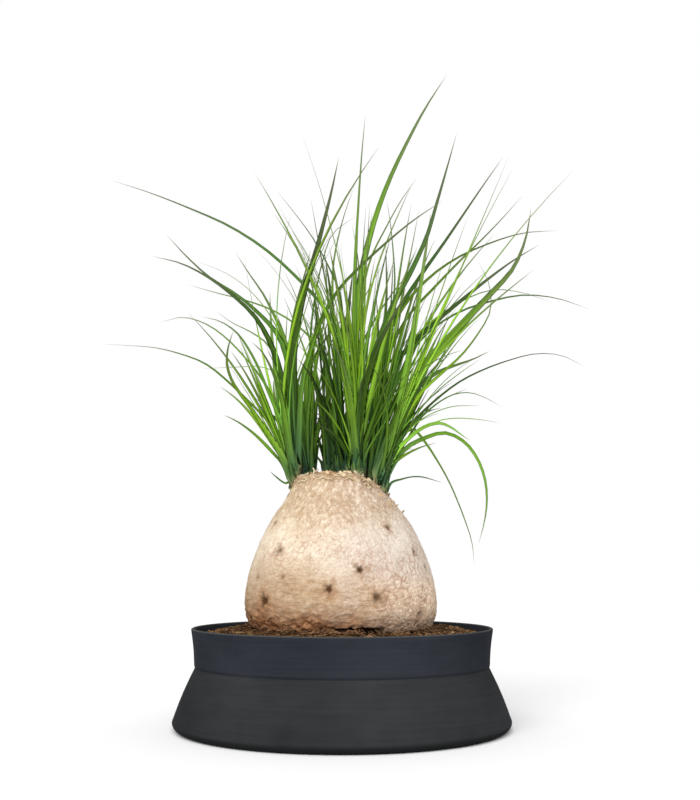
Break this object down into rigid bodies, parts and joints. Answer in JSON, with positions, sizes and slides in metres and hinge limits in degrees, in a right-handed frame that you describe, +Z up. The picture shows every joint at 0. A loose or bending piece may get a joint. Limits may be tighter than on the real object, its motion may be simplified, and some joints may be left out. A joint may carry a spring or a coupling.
{
  "type": "potted ponytail palm",
  "caption": "Ponytail palm with a swollen, top-cut caudex and heads of narrow strap leaves, in soil in a low two-tier round bowl.",
  "frame": {"origin": "centre of the bowl's flat underside, on the surface that it stands on", "axes": "+Z up the plant, -Y towards the front as pictured, +X to the viewer's right"},
  "size_m": [0.4588, 0.365, 0.6279],
  "materials": {
    "pot": "matt dark charcoal, faint level brushing",
    "soil": "coarse brown coir and bark chips",
    "caudex": "pale cream corky bark with fine cracks and dark knots",
    "leaf_bright": "satin bright green strap leaves",
    "leaf_deep": "satin deep green strap leaves"
  },
  "bodies": {
    "root": {"pot": "pot", "soil": "soil", "caudex": "caudex", "head_left": "leaf_bright", "head_back_left": "leaf_deep", "head_back": "leaf_deep", "head_middle": "leaf_deep", "head_centre": "leaf_bright", "head_right_back": "leaf_deep", "head_right": "leaf_bright"}
  },
  "joints": []
}
